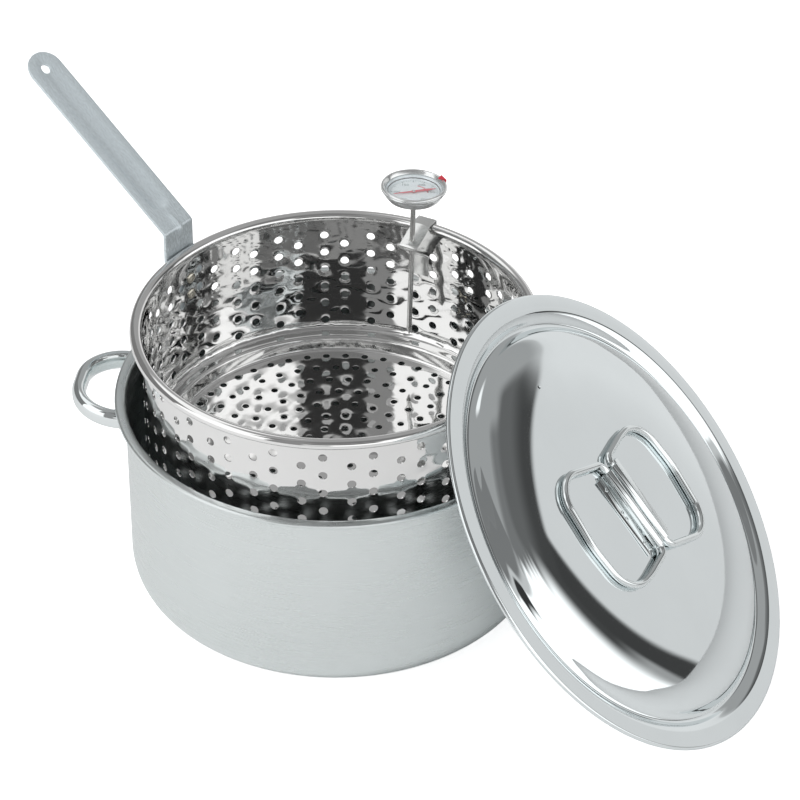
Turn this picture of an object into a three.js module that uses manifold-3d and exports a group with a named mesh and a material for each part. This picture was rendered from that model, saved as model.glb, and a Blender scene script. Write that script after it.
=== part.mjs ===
// A stock-pot deep fryer: a wide pot with two side handles, a perforated lift-out basket with a long
// strap handle, a domed lid with two folding bails, and a dial thermometer in a rim clip.
// Millimetres, +Z up, origin at the centre of the pot's base.
import * as THREE from 'three';
import { mergeVertices } from 'three/addons/utils/BufferGeometryUtils.js';
import Module from 'manifold-3d';

const wasm = await Module();
wasm.setup();

// ---------------------------------------------------------------- driving dimensions
const ROUND = 48; // sides of the large round sheets
const SMALL_ROUND = 24; // sides of the small round pieces
const ARC_STEPS = 4; // segments in a rounded corner
const GAP = 0.3; // clearance between pieces that touch

const POT = { height: 148, inner: 143, sheet: 1, corner: 24, rim: 151, lip: 2, flare: 4 };
const BASKET = {
  rimTop: 205.4, inner: 130.2, sheet: 0.8, rim: 138.6, lip: 1.8, flare: 2.5,
  floor: 99, floorRadius: 114, ridge: 121.2, ledge: 108.6, heel: 6,
};
const SIDE_HANDLE = {
  bearing: 171.5, height: 134.5, chord: 69.4, reach: 33.4, bend: 30, width: 10, tall: 14, tilt: 5,
};
const STRAP = {
  bearing: 140, width: 28, sheet: 2.2, foot: 163, wall: 132.6, offset: 140.3, jogLow: 190,
  jogHigh: 198.5, elbow: 222.7, rise: 34.8, arm: 157, hole: 3.5, holeInset: 13,
};
const RIVET = { heights: [184.5, 171.5], shank: 2, head: 4, headHeight: 1.5 };
const LID = {
  centre: [186.46, -113.28, 122.05], bearing: 69.16, tilt: 41.71, rim: 162.2, sheet: 0.8, lip: 1.7,
  ventAt: [11, 104], ventRadius: 1.3,
};
const BRACKET = {
  turn: -6.8, rise: 3.2, length: 60, sheet: 0.9, flange: 18, spacing: 9.4, base: 14.2, barrel: 3.4,
};
const BAIL = {
  wire: 2.5, height: 16.9, insert: 20,
  // Corners of the loop from its hinge line, with the radius of each.
  corners: [[0, 36, 6], [-51.3, 54, 13], [-59.8, 4, 60], [-55.8, -35.5, 24], [0, -35, 5]],
};
const CLIP = {
  bearing: 62, width: 13.5, sheet: 0.8, hook: 139.9, hookFoot: 196, top: 206.4, inner: 129.5,
  nose: 107, noseHeight: 199.4, heel: 128, heelHeight: 182, foot: 166,
};
const GAUGE = {
  tipRadius: 110.4, tipHeight: 125.1, lean: 3.5, stem: 2.1, stemWall: 0.5, stemLow: 5.3,
  stemHigh: 112.6, caseFoot: 111.4, bezel: 22.8, dial: 18.6, needle: 16, needleBearing: 15,
  markerBearing: 26,
};
const COIL = { radius: 0.95, low: 10.5, pitch: 1.5, turns: 7 };
const SPINDLE = { radius: 0.5, low: 22, bushLow: 104, bushHigh: 107 };

// ---------------------------------------------------------------- outlines in the plane
const radians = THREE.MathUtils.degToRad;
const v2 = (x, y) => new THREE.Vector2(x, y);

// Points of an arc, angles in degrees.
function arc(x, y, radius, from, to, steps = ARC_STEPS) {
  return Array.from({ length: steps + 1 }, (_, i) => {
    const a = radians(from + ((to - from) * i) / steps);
    return v2(x + radius * Math.cos(a), y + radius * Math.sin(a));
  });
}

// A polyline through corners [x, y, radius], each corner rounded by its radius.
function roundedLine(corners, steps = ARC_STEPS) {
  const points = [];
  corners.forEach(([x, y, radius = 0], i) => {
    const here = v2(x, y);
    if (radius === 0) {
      points.push(here);
      return;
    }
    const before = v2(...corners[i - 1]).sub(here).normalize();
    const after = v2(...corners[i + 1]).sub(here).normalize();
    const half = Math.acos(before.dot(after)) / 2;
    const centre = before.clone().add(after).normalize();
    centre.multiplyScalar(radius / Math.sin(half)).add(here);
    const start = before.clone().multiplyScalar(radius / Math.tan(half)).add(here).sub(centre);
    const turn = Math.sign(before.cross(after)) * (Math.PI - 2 * half);
    for (let k = 0; k <= steps; k += 1) {
      points.push(start.clone().rotateAround(v2(0, 0), (-turn * k) / steps).add(centre));
    }
  });
  return points;
}

// The same line moved sideways, to the right of its direction of travel.
function offsetLine(points, distance) {
  return points.map((point, i) => {
    const back = points[Math.max(i - 1, 0)];
    const ahead = points[Math.min(i + 1, points.length - 1)];
    const before = (i > 0 ? point.clone().sub(back) : ahead.clone().sub(point)).normalize();
    const after = (i < points.length - 1 ? ahead.clone().sub(point) : before.clone()).normalize();
    const along = before.clone().add(after).normalize();
    const reach = distance / Math.max(along.dot(before), 0.5);
    return v2(point.x + along.y * reach, point.y - along.x * reach);
  });
}

// Closed outline of a sheet whose one face is the line and whose other face is to its right.
const sheetOutline = (points, sheet) => [...offsetLine(points, sheet), ...[...points].reverse()];

// Closed outline of a sheet centred on the line.
const stripOutline = (points, sheet) => sheetOutline(offsetLine(points, -sheet / 2), sheet);

// ---------------------------------------------------------------- solids
const placed = (x = 0, y = 0, z = 0) => new THREE.Matrix4().makeTranslation(x, y, z);

function toSolid(geometry) {
  const bare = geometry.clone();
  bare.deleteAttribute('normal');
  bare.deleteAttribute('uv');
  const merged = mergeVertices(bare, 1e-3);
  const mesh = new wasm.Mesh({
    numProp: 3,
    vertProperties: new Float32Array(merged.attributes.position.array),
    triVerts: new Uint32Array(merged.index.array),
  });
  return new wasm.Manifold(mesh);
}

function toGeometry(solid) {
  const mesh = solid.getMesh();
  const geometry = new THREE.BufferGeometry();
  geometry.setAttribute('position', new THREE.BufferAttribute(mesh.vertProperties, 3));
  geometry.setIndex(new THREE.BufferAttribute(mesh.triVerts, 1));
  geometry.computeVertexNormals();
  return geometry;
}

// Turns a profile of (radius, height) about +Z. The profile runs with the material on its left.
function revolve(profile, sides = SMALL_ROUND) {
  return new THREE.LatheGeometry(profile, sides).rotateX(Math.PI / 2);
}

// A ring of rectangular section about +Z.
function ring(inner, outer, low, high, sides = SMALL_ROUND) {
  const corners = [[inner, low], [outer, low], [outer, high], [inner, high], [inner, low]];
  return revolve(corners.map(([r, z]) => v2(r, z)), sides);
}

// A round bar about +Z.
function bar(radius, low, high, sides = SMALL_ROUND) {
  const middle = (low + high) / 2;
  const upright = new THREE.CylinderGeometry(radius, radius, high - low, sides).rotateX(Math.PI / 2);
  return upright.translate(0, 0, middle);
}

// A side profile in the XZ plane, made wide along Y.
function across(outline, width) {
  const shape = new THREE.Shape(outline);
  const block = new THREE.ExtrudeGeometry(shape, { depth: width, bevelEnabled: false, steps: 1 });
  return block.translate(0, 0, -width / 2).rotateX(Math.PI / 2);
}

// A path through fixed stations, which a swept section passes with mitred joints.
class StationPath extends THREE.Curve {
  constructor(stations) {
    super();
    this.stations = stations;
  }

  getPoint(t, target = new THREE.Vector3()) {
    const last = this.stations.length - 1;
    return target.copy(this.stations[Math.min(Math.round(t * last), last)]);
  }

  getPointAt(u, target) {
    return this.getPoint(u, target);
  }

  getTangentAt(u, target = new THREE.Vector3()) {
    const last = this.stations.length - 1;
    const i = Math.min(Math.round(u * last), last);
    const here = this.stations[i];
    const before = here.clone().sub(this.stations[Math.max(i - 1, 0)]).normalize();
    const after = this.stations[Math.min(i + 1, last)].clone().sub(here).normalize();
    return target.copy(before).add(after).normalize();
  }
}

function sweep(stations, section) {
  const extrudePath = new StationPath(stations);
  const options = { steps: stations.length - 1, bevelEnabled: false, extrudePath };
  return new THREE.ExtrudeGeometry(new THREE.Shape(section), options);
}

function ellipse(halfX, halfY, sides) {
  const points = arc(0, 0, 1, 0, 360 - 360 / sides, sides - 1);
  return points.map((p) => v2(p.x * halfX, p.y * halfY));
}

// ---------------------------------------------------------------- materials
const FINISH = {
  mirror: { color: 0xd9dcdf, roughness: 0.12, metalness: 1 },
  satin: { color: 0xc3c9cc, roughness: 0.38, metalness: 1 },
  dial: { color: 0xe9eef0, roughness: 0.5, metalness: 0 },
  red: { color: 0xc8243a, roughness: 0.4, metalness: 0 },
  rubber: { color: 0x2a2c2e, roughness: 0.8, metalness: 0 },
  glass: { color: 0xf4f8fa, roughness: 0.05, metalness: 0, transparent: true, opacity: 0.35 },
};

function piece(name, shape, finish) {
  const geometry = shape.isBufferGeometry ? shape : toGeometry(shape);
  const mesh = new THREE.Mesh(geometry, new THREE.MeshStandardMaterial(FINISH[finish]));
  mesh.name = name;
  return mesh;
}

// ---------------------------------------------------------------- pot
function potBody() {
  const { height, inner, sheet, corner, rim, lip, flare } = POT;
  const face = [
    v2(0, sheet),
    ...arc(inner - corner, sheet + corner, corner, -90, 0, 5),
    ...arc(inner + flare, height - flare, flare, 180, 90, 3),
    ...arc(rim - lip, height - lip, lip, 90, -60, 4),
  ];
  return piece('pot_body', revolve(sheetOutline(face, sheet), ROUND), 'satin');
}

// One oval-tube loop, its ends cut to the pot's wall with a small weld gap.
function sideHandle(name, bearing) {
  const { height, chord, reach, bend, width, tall, tilt } = SIDE_HANDLE;
  const wall = POT.inner + POT.sheet;
  const root = wall - 6;
  const far = wall + reach;
  const plan = roundedLine([
    [root, chord / 2], [far, chord / 2, bend], [far, -chord / 2, bend], [root, -chord / 2],
  ], 6);
  const rise = Math.tan(radians(tilt));
  const stations = plan.map((p) => new THREE.Vector3(p.x, p.y, height + (p.x - wall) * rise));
  const loop = toSolid(sweep(stations, ellipse(tall / 2, width / 2, 12)));
  const potWall = toSolid(bar(wall + GAP + 0.2, 0, POT.height, ROUND));
  const handle = piece(name, loop.subtract(potWall), 'mirror');
  handle.rotation.z = radians(bearing);
  return handle;
}

// ---------------------------------------------------------------- basket
// Lays a solid made about +Z along the strap's radial +X, at a height.
const lyingAt = (height, geometry) => geometry.rotateY(Math.PI / 2).translate(0, 0, height);

function rivetHole(height, around) {
  return lyingAt(height, bar(RIVET.shank + GAP, around - 5, around + 5, 10));
}

function basketShell() {
  const { rimTop, inner, sheet, rim, lip, flare, floor, floorRadius, ridge, ledge, heel } = BASKET;
  const bead = 3;
  const face = [
    v2(0, floor),
    ...arc(floorRadius, floor + bead, bead, -90, -20, 2),
    ...arc(ridge, ledge - bead, bead, 165, 90, 3),
    ...arc(inner - heel, ledge + heel, heel, -90, 0, 3),
    ...arc(inner + flare, rimTop - flare, flare, 180, 90, 3),
    ...arc(rim - lip, rimTop - lip, lip, 90, -60, 4),
  ];
  let shell = toSolid(revolve(sheetOutline(face, sheet), ROUND));
  RIVET.heights.forEach((height) => {
    shell = shell.subtract(toSolid(rivetHole(height, inner).rotateZ(radians(STRAP.bearing))));
  });
  return piece('basket_shell', shell, 'mirror');
}

function basketHandle() {
  const { width, sheet, foot, wall, offset, jogLow, jogHigh, elbow, rise, arm } = STRAP;
  const slope = radians(rise);
  const tip = v2(offset + arm * Math.cos(slope), elbow + arm * Math.sin(slope));
  const line = roundedLine([
    [wall, foot], [wall, jogLow, 3], [offset, jogHigh, 3], [offset, elbow, 3], [tip.x, tip.y],
  ], 3);
  const strap = toSolid(across(stripOutline(line, sheet), width));
  // Plan of the arm seen square on: straight sides and one round free end.
  const plan = new THREE.Shape([v2(-80, -width), v2(-80, width)]);
  const half = width / 2;
  plan.lineTo(arm - half, width);
  plan.lineTo(arm - half, half);
  plan.absarc(arm - half, 0, half, Math.PI / 2, -Math.PI / 2, true);
  plan.lineTo(arm - half, -width);
  const toArm = placed(offset, 0, elbow).multiply(new THREE.Matrix4().makeRotationY(-slope));
  const plate = new THREE.ExtrudeGeometry(plan, { depth: 400, bevelEnabled: false, curveSegments: 10 });
  const mask = toSolid(plate.translate(0, 0, -200).applyMatrix4(toArm));
  const hangHole = bar(STRAP.hole, -10, 10, 16).translate(arm - STRAP.holeInset, 0, 0);
  let handle = strap.intersect(mask).subtract(toSolid(hangHole.applyMatrix4(toArm)));
  RIVET.heights.forEach((height) => {
    handle = handle.subtract(toSolid(rivetHole(height, wall)));
  });
  const mesh = piece('basket_handle', handle, 'satin');
  mesh.rotation.z = radians(STRAP.bearing);
  return mesh;
}

function rivet(name, height) {
  const { shank, head, headHeight } = RIVET;
  const inside = BASKET.inner - 0.9;
  const outside = STRAP.wall + STRAP.sheet / 2 + GAP;
  const profile = [
    [0, inside - 1.1], [head * 0.8, inside - 1], [head, inside - 0.6], [head, inside],
    [shank, inside], [shank, outside], [head, outside], [head * 0.85, outside + headHeight * 0.7],
    [head * 0.45, outside + headHeight], [0, outside + headHeight],
  ];
  const body = revolve(profile.map(([r, z]) => v2(r, z)), 12);
  const mesh = piece(name, lyingAt(height, body), 'satin');
  mesh.rotation.z = radians(STRAP.bearing);
  return mesh;
}

// ---------------------------------------------------------------- lid
function lidShell() {
  const { rim, sheet, lip, ventAt, ventRadius } = LID;
  const top = 1;
  // Radius and height of the outer face: dome, seat ring that drops into the pot, flat flange.
  const face = [
    [0, 13.6], [8, 13.6], [40, 13.3], [75, 12.5], [100, 10.9], [118, 8.3], [128, 5.4], [134, 2.2],
    [137.3, -1.4], [139.6, -3.1], [142.4, -3.1], [146, -0.4], [149.5, 0.9], [153, top],
  ].map(([r, z]) => v2(r, z));
  const curl = arc(rim - lip, top - lip, lip, 90, -70, 4);
  const shell = toSolid(revolve(sheetOutline([...face, ...curl], sheet), ROUND));
  const vent = toSolid(bar(ventRadius, 0, 30, 10).translate(...ventAt, 0));
  return piece('lid_shell', shell.subtract(vent), 'mirror');
}

// One sheet with two half-round channels that hold the bails' ends against the lid.
function hingeBracket() {
  const { length, sheet, flange, spacing, base, barrel } = BRACKET;
  const face = base + sheet;
  const outer = barrel + sheet;
  const low = BAIL.height - face;
  const dip = -Math.asin(low / outer) * THREE.MathUtils.RAD2DEG;
  const line = [
    v2(-flange, face),
    ...arc(-spacing / 2, BAIL.height, outer, 180 - dip, dip + 26, 8),
    ...arc(spacing / 2, BAIL.height, outer, 154 - dip, dip, 8),
    v2(flange, face),
  ];
  return piece('lid_hinge_bracket', across(sheetOutline(line, sheet), length), 'mirror');
}

// A wire loop, longer at one end, whose two ends run into one channel of the bracket.
function bail(name, side) {
  const { wire, height, insert, corners } = BAIL;
  const hinge = -BRACKET.spacing / 2;
  const end = BRACKET.length / 2;
  const plan = roundedLine([
    [hinge, end - insert],
    ...corners.map(([x, y, radius]) => [hinge + x, y, radius]),
    [hinge, insert - end],
  ], 5);
  const stations = plan.map((p) => new THREE.Vector3(p.x, p.y, height));
  const loop = piece(name, sweep(stations, ellipse(wire, wire, 10)), 'mirror');
  loop.rotation.z = side > 0 ? Math.PI : 0;
  return loop;
}

function lidGroup() {
  const hinge = new THREE.Group();
  hinge.rotation.z = radians(BRACKET.turn);
  hinge.position.y = BRACKET.rise;
  hinge.add(hingeBracket(), bail('lid_bail_left', -1), bail('lid_bail_right', 1));
  const lid = new THREE.Group();
  lid.add(lidShell(), hinge);
  lid.position.set(...LID.centre);
  lid.rotation.set(radians(90 - LID.tilt), 0, radians(LID.bearing), 'ZYX');
  return lid;
}

// ---------------------------------------------------------------- thermometer
// Moves a solid from the gauge's frame, with its stem along +Z, to the clip's radial frame.
const gaugePlace = placed(GAUGE.tipRadius, 0, GAUGE.tipHeight)
  .multiply(new THREE.Matrix4().makeRotationY(radians(GAUGE.lean)));

// One strip: over the basket's rim, in to a folded nose, back to the wall and down it.
function clip() {
  const { width, sheet, hook, hookFoot, top, inner, nose, noseHeight, heel, heelHeight, foot } = CLIP;
  const line = roundedLine([
    [hook, hookFoot], [hook, top, 1.5], [inner, top, 3], [nose, noseHeight, 1],
    [heel, heelHeight, 3], [heel - 1, foot],
  ]);
  const strip = toSolid(across(stripOutline(line, sheet), width));
  const bore = bar(GAUGE.stem + GAP, 20, 105, 16).applyMatrix4(gaugePlace);
  return piece('thermometer_clip', strip.subtract(toSolid(bore)), 'satin');
}

function helix({ radius, low, pitch, turns }, section) {
  const steps = turns * 12;
  const stations = Array.from({ length: steps + 1 }, (_, i) => {
    const a = (i * Math.PI) / 6;
    return new THREE.Vector3(radius * Math.cos(a), radius * Math.sin(a), low + (pitch * i) / 12);
  });
  return sweep(stations, section);
}

function gaugeStem() {
  const { stem, stemWall, stemLow, stemHigh } = GAUGE;
  const bore = stem - stemWall;
  const tipProfile = [
    [0, 0], [0.9, 1.2], [stem, 4.6], [stem, stemLow - GAP], [bore - GAP, stemLow - GAP],
    [bore - GAP, stemLow + 3.5], [0, stemLow + 3.5],
  ];
  const bush = ring(SPINDLE.radius + GAP, bore - GAP, SPINDLE.bushLow, SPINDLE.bushHigh, 12);
  return [
    piece('thermometer_stem', ring(bore, stem, stemLow, stemHigh, 16), 'satin'),
    piece('thermometer_stem_tip', revolve(tipProfile.map(([r, z]) => v2(r, z)), 16), 'satin'),
    piece('thermometer_spindle_bush', bush, 'satin'),
    piece('thermometer_bimetal_coil', helix(COIL, ellipse(0.3, 0.25, 6)), 'satin'),
  ];
}

function gaugeCase() {
  const { stem, caseFoot, bezel } = GAUGE;
  const bore = stem + GAP;
  const floor = caseFoot + 1;
  const bowl = [
    [bore, caseFoot], [17.4, caseFoot], [18.6, caseFoot + 0.5], [21.4, caseFoot + 5.2],
    [21.4, caseFoot + 6.4], [20.6, caseFoot + 6.4], [20.6, caseFoot + 5.4], [17.9, floor],
    [bore, floor], [bore, caseFoot],
  ];
  const low = caseFoot + 6.8;
  const crimp = [
    [19.4, low], [21.9, low], [bezel, low + 0.8], [bezel, low + 2.2], [bezel - 0.8, low + 3],
    [bezel - 1.6, low + 3], [19.4, low + 1.4], [19.4, low],
  ];
  const nut = new THREE.Shape(arc(0, 0, 5.2, 0, 300, 5));
  nut.holes.push(new THREE.Path().absarc(0, 0, bore, 0, 2 * Math.PI, true));
  const nutHeight = 3.5;
  const nutSolid = new THREE.ExtrudeGeometry(nut, {
    depth: nutHeight, bevelEnabled: false, curveSegments: 8,
  });
  nutSolid.translate(0, 0, caseFoot - GAP - nutHeight);
  const sides = 40;
  return [
    piece('thermometer_case', revolve(bowl.map(([r, z]) => v2(r, z)), sides), 'satin'),
    piece('thermometer_bezel', revolve(crimp.map(([r, z]) => v2(r, z)), sides), 'mirror'),
    piece('thermometer_calibration_nut', nutSolid, 'satin'),
  ];
}

// Dial, gasket and lens, stacked above the case's floor.
function gaugeFace() {
  const { caseFoot, dial } = GAUGE;
  return [
    piece('thermometer_dial', ring(1.2, dial, caseFoot + 3, caseFoot + 3.6, 40), 'dial'),
    piece('thermometer_gasket', ring(18, 19.1, caseFoot + 4.4, caseFoot + 5.3, 32), 'rubber'),
    piece('thermometer_lens', bar(19, caseFoot + 5.6, caseFoot + 6.6, 40), 'glass'),
  ];
}

// The needle is pressed on the spindle, which the bimetal coil turns from inside the stem.
function gaugeNeedle() {
  const { caseFoot, needle, needleBearing } = GAUGE;
  const outline = new THREE.Shape([
    v2(-6, -0.7), v2(-1.2, -1.2), v2(1.2, -1.2), v2(needle, 0), v2(1.2, 1.2), v2(-1.2, 1.2),
    v2(-6, 0.7),
  ]);
  const pointer = new THREE.ExtrudeGeometry(outline, { depth: 0.4, bevelEnabled: false });
  const top = caseFoot + 4.4;
  const mesh = piece('thermometer_needle', pointer.translate(0, 0, top), 'red');
  mesh.rotation.z = radians(needleBearing - CLIP.bearing);
  const spindle = bar(SPINDLE.radius, SPINDLE.low, top - GAP, 10);
  return [mesh, piece('thermometer_spindle', spindle, 'satin')];
}

// A folded tab that hooks over the bezel and slides round it.
function setMarker() {
  const { bezel, caseFoot, markerBearing } = GAUGE;
  const top = caseFoot + 10.2;
  const line = [
    [bezel + 0.8, top - 4.6], [bezel + 0.8, top, 0.6], [bezel - 3.4, top],
  ];
  const tab = toSolid(across(stripOutline(roundedLine(line, 2), 0.6), 7));
  const pointed = new THREE.Shape([v2(bezel + 2, -3.5), v2(bezel + 2, 3.5), v2(bezel - 4, 0)]);
  const wedge = new THREE.ExtrudeGeometry(pointed, { depth: 20, bevelEnabled: false });
  const pointer = tab.intersect(toSolid(wedge.translate(0, 0, top - 10)));
  const mesh = piece('thermometer_set_marker', pointer, 'red');
  mesh.rotation.z = radians(markerBearing - CLIP.bearing);
  return mesh;
}

function thermometerGroup() {
  const gauge = new THREE.Group();
  gauge.add(...gaugeStem(), ...gaugeCase(), ...gaugeFace(), ...gaugeNeedle(), setMarker());
  gauge.applyMatrix4(gaugePlace);
  const station = new THREE.Group();
  station.add(clip(), gauge);
  station.rotation.z = radians(CLIP.bearing);
  return station;
}

// ---------------------------------------------------------------- whole object
const fryer = new THREE.Group();
fryer.add(
  potBody(),
  sideHandle('side_handle_left', SIDE_HANDLE.bearing),
  sideHandle('side_handle_right', SIDE_HANDLE.bearing - 180),
  basketShell(),
  basketHandle(),
  ...RIVET.heights.map((height, i) => rivet(`basket_handle_rivet_${i + 1}`, height)),
  lidGroup(),
  thermometerGroup(),
);

export default fryer;
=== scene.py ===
"""A stock-pot deep fryer in polished and satin stainless steel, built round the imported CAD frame."""

import math

import bmesh
import bpy
import numpy as np
from mathutils import Euler, Matrix, Vector
from mathutils.geometry import delaunay_2d_cdt


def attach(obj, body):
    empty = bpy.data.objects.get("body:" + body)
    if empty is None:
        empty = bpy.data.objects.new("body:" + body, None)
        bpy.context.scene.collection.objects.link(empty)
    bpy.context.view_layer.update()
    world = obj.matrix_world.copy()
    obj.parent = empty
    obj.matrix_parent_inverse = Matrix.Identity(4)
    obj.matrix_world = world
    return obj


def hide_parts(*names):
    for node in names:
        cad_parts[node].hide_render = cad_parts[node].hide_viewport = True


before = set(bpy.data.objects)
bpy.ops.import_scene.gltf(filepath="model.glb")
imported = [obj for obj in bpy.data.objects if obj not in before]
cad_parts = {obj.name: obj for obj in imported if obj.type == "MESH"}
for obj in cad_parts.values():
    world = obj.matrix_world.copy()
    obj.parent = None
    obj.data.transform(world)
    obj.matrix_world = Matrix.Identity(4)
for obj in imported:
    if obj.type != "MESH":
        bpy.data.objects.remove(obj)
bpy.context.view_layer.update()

MM = 0.001
UP = Vector((0, 0, 1))

# ---------------------------------------------------------------- sizes, in millimetres
POT = dict(height=148, inner=143, sheet=1, corner=24, rim=151, lip=2, flare=4)
SIDE_HANDLE = dict(bearing=171.5, height=134.5, chord=69.4, reach=33.4, bend=30, width=10, tall=14, tilt=5)
BASKET = dict(top=205.4, inner=130.2, sheet=0.8, rim=138.6, lip=1.8, flare=4.2, crown=3.8,
              floor=99, floor_radius=114, ridge=121.2, ledge=108.6, heel=6, bead=3)
COLUMNS = dict(pairs=25, spread=3.1, top=188, pitch=14.4, rows=6, radius=2.95, across=8,
               rings=(3.25, 3.75, 4.5, 5.5), dimple=0.28, dimple_reach=3.3)
FLOOR_HOLES = dict(rings=[8, 22.5, 37, 51.5, 66, 80.4, 94.8, 109], spacing=13.7, radius=2.4,
                   twist=0.7, dimple=0.11, dimple_reach=2.8)
RIPPLE = dict(height=0.07, low=112, high=198)
STRAP = dict(bearing=140, width=28, sheet=2.2, foot=163, wall=132.6, offset=140.3, jog_low=190,
             jog_high=198.5, elbow=222.7, rise=34.8, arm=157, hole=3.5, inset=13)
CHANNEL = dict(after_bend=24, before_end=36, half=8.4, depth=3.4, fade=0.35)
RIVET = dict(heights=(184.5, 171.5), shank=1.9, head=3.9)
LID = dict(centre=(186.46, -113.28, 122.05), bearing=69.16, tilt=41.71, rim=162.1, sheet=0.8, lip=1.7,
           vent=(11, 104), vent_radius=1.3)
LID_FACE = [(0, 13.6), (8, 13.6), (40, 13.3), (75, 12.5), (100, 10.9), (118, 8.3), (128, 5.4), (134, 2.2),
            (137.3, -1.4), (139.6, -3.1), (142.4, -3.1), (146, -0.4), (149.5, 0.9), (153, 1)]
HINGE = dict(turn=-6.8, rise=3.2, length=60, sheet=0.8, flange=18, spacing=9.4, base=13.6, barrel=2.8)
BAIL = dict(wire=2.5, height=16.9, insert=20, droop=1.4,
            corners=[(0, 36.5, 8), (-52, 55.6, 19), (-59.8, 4, 60), (-56.5, -36.6, 25), (-26, -38, 60),
                     (0, -36, 6)])
CLIP = dict(bearing=62, width=13.5, sheet=0.8, hook=139.9, hook_foot=196, top=206.4, inner=129.5,
            nose=107, nose_height=199.4, heel=128, heel_height=182, foot=166)
GAUGE = dict(radius=110.4, height=125.1, lean=3.5, stem=1.8, high=112.6, case=111.4, bezel=22.8, dial=18.6,
             needle=16, needle_bearing=15, marker_bearing=26)
DIAL = dict(start=235, sweep=290, ticks=50, tick_out=16.9, long_tick=14.4, short_tick=15.6, numbers=11.9,
            number_size=3.4, step=50, band=(9.2, 10.0), band_start=74, band_step=5.2, band_cells=14)


# ---------------------------------------------------------------- lines in a plane
def arc(x, y, radius, start, end, steps=10):
    angles = np.radians(np.linspace(start, end, steps + 1))
    return [(x + radius * math.cos(a), y + radius * math.sin(a)) for a in angles]


def rounded(corners, steps=10):
    """A polyline through corners (x, y, radius), each corner rounded by its radius."""
    line = []
    for i, corner in enumerate(corners):
        here = Vector(corner[:2])
        radius = corner[2] if len(corner) > 2 else 0
        if radius == 0:
            line.append(tuple(here))
            continue
        back = (Vector(corners[i - 1][:2]) - here).normalized()
        ahead = (Vector(corners[i + 1][:2]) - here).normalized()
        half = math.acos(max(-1, min(1, back.dot(ahead)))) / 2
        centre = here + (back + ahead).normalized() * radius / math.sin(half)
        spoke = here + back * radius / math.tan(half) - centre
        turn = math.copysign(math.pi - 2 * half, back.cross(ahead))
        for k in range(steps + 1):
            a = -turn * k / steps
            c, s = math.cos(a), math.sin(a)
            line.append((centre.x + c * spoke.x - s * spoke.y, centre.y + s * spoke.x + c * spoke.y))
    return line


def normals_of(line):
    """Unit normals to the right of a line's direction of travel."""
    points = np.array(line, float)
    step = np.diff(points, axis=0)
    step /= np.linalg.norm(step, axis=1)[:, None]
    along = np.vstack([step[:1], step[:-1] + step[1:], step[-1:]])
    length = np.linalg.norm(along, axis=1)[:, None]
    reach = np.ones(len(points))
    reach[1:-1] = 2 / np.maximum(length[1:-1, 0], 1)
    along /= length
    return np.stack([along[:, 1], -along[:, 0]], 1) * reach[:, None]


def offset(line, distance):
    return (np.array(line, float) + normals_of(line) * distance).tolist()


def sheet(line, thickness):
    """Closed outline of a sheet with the line as one face and its other face to the right."""
    return offset(line, thickness) + [list(p) for p in reversed(line)]


def strip(line, thickness):
    return sheet(offset(line, -thickness / 2), thickness)


def through(points, steps=6):
    """A smooth line through the points."""
    points = [points[0], *points, points[-1]]
    line = []
    for a, b, c, d in zip(points, points[1:], points[2:], points[3:]):
        a, b, c, d = (np.array(p, float) for p in (a, b, c, d))
        for t in np.arange(steps) / steps:
            spot = 0.5 * (2 * b + (c - a) * t + (2 * a - 5 * b + 4 * c - d) * t**2
                          + (3 * b - a - 3 * c + d) * t**3)
            line.append(tuple(spot))
    return line + [tuple(points[-1])]


# ---------------------------------------------------------------- meshes
def finish_mesh(name, mesh, materials, place=Matrix(), sharp=38):
    mesh.materials.clear()
    for material in materials if isinstance(materials, (list, tuple)) else [materials]:
        mesh.materials.append(material)
    mesh.shade_smooth()
    mesh.set_sharp_from_angle(angle=math.radians(sharp))
    mesh.update()
    obj = bpy.data.objects.new(name, mesh)
    bpy.context.scene.collection.objects.link(obj)
    obj.matrix_world = place
    return obj


def make(name, points, faces, materials, place=Matrix(), sharp=38, face_material=None, outward=True):
    """An object from points in millimetres, in the frame of its place."""
    mesh = bpy.data.meshes.new(name)
    mesh.from_pydata([tuple(c * MM for c in p) for p in points], [], faces)
    if face_material is not None:
        mesh.polygons.foreach_set("material_index", face_material)
    if outward:
        solid = bmesh.new()
        solid.from_mesh(mesh)
        bmesh.ops.recalc_face_normals(solid, faces=solid.faces)
        solid.to_mesh(mesh)
        solid.free()
    return finish_mesh(name, mesh, materials, place, sharp)


def revolve_data(profile, sides, closed=True):
    """Points, faces and each face's profile step, for a profile of (radius, height) about Z."""
    points, rings, faces, steps = [], [], [], []
    turn = np.linspace(0, 2 * math.pi, sides, endpoint=False)
    for r, z in profile:
        rings.append(len(points))
        points += [(0, 0, z)] if r < 1e-6 else [(r * math.cos(a), r * math.sin(a), z) for a in turn]
    last = len(profile) - (0 if closed else 1)
    for k in range(last):
        j = (k + 1) % len(profile)
        flat = [profile[k][0] < 1e-6, profile[j][0] < 1e-6]
        if all(flat):
            continue
        a, b = rings[k], rings[j]
        for i in range(sides):
            n = (i + 1) % sides
            if flat[0]:
                faces.append((a, b + i, b + n))
            elif flat[1]:
                faces.append((a + i, b, a + n))
            else:
                faces.append((a + i, b + i, b + n, a + n))
            steps.append(k)
    return points, faces, steps


def revolve(name, profile, materials, sides=96, place=Matrix(), pick=None, sharp=38):
    points, faces, steps = revolve_data(profile, sides)
    chosen = None if pick is None else [pick(k) for k in steps]
    return make(name, points, faces, materials, place, sharp, chosen)


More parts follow.
